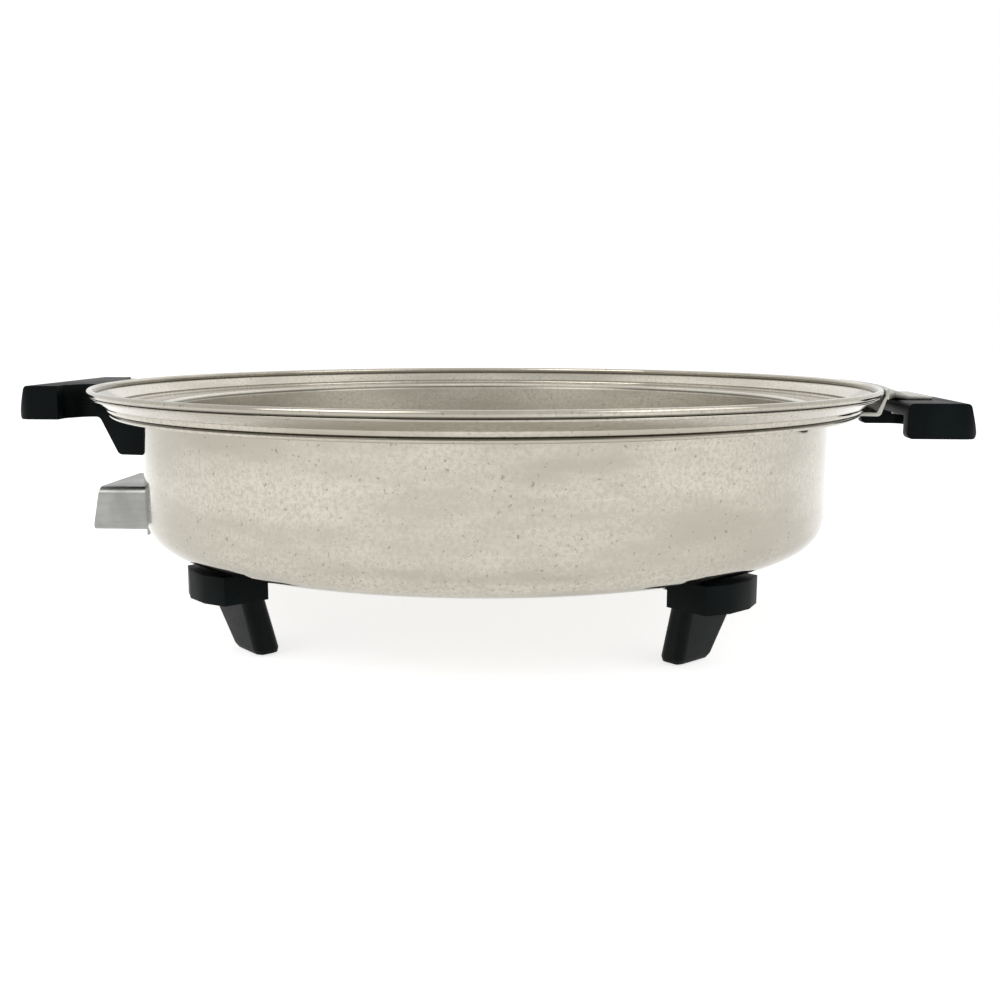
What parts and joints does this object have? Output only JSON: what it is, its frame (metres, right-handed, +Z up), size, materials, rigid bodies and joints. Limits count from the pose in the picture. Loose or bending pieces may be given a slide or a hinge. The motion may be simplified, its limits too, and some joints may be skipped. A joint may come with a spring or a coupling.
{
  "type": "electric skillet",
  "caption": "Round stainless electric skillet body with a double wall, black side handles, short legs and a side guard round its terminal pins.",
  "frame": {"origin": "on the floor under the vessel's axis, half way between the ends of the handles", "axes": "+X towards the far-side handle, -X towards the probe guard and its pins, +Y to the rear, +Z up; the picture looks along +Y"},
  "size_m": [0.3842, 0.325, 0.0981],
  "materials": {
    "pan_steel": "brushed stainless, warm and worn",
    "shell_steel": "brushed stainless, worn, with fine horizontal lines",
    "guard_steel": "satin stainless sheet",
    "bracket_steel": "satin stainless sheet",
    "phenolic": "satin black phenolic",
    "element_steel": "heat-dulled steel sheath",
    "tube_steel": "drawn steel tube",
    "spreader_aluminium": "rolled aluminium",
    "pin_metal": "nickel-plated brass",
    "ceramic": "unglazed white ceramic",
    "fastener_steel": "zinc-plated steel"
  },
  "bodies": {
    "root": {"element_ferrules": "tube_steel", "far_handle_bracket": "bracket_steel", "far_handle_screws": "fastener_steel", "far_side_handle": "phenolic", "heat_spreader": "spreader_aluminium", "heating_element": "element_steel", "inner_pan": "pan_steel", "leg_front_left": "phenolic", "leg_front_right": "phenolic", "leg_nuts": "fastener_steel", "leg_rear_left": "phenolic", "leg_rear_right": "phenolic", "leg_studs": "fastener_steel", "leg_washers": "fastener_steel", "outer_shell": "shell_steel", "pin_insulators": "ceramic", "probe_ferrule": "tube_steel", "probe_guard": "guard_steel", "probe_handle_bosses": "fastener_steel", "probe_handle_screws": "fastener_steel", "probe_side_handle": "phenolic", "probe_tube": "tube_steel", "terminal_pins": "pin_metal"}
  },
  "joints": []
}
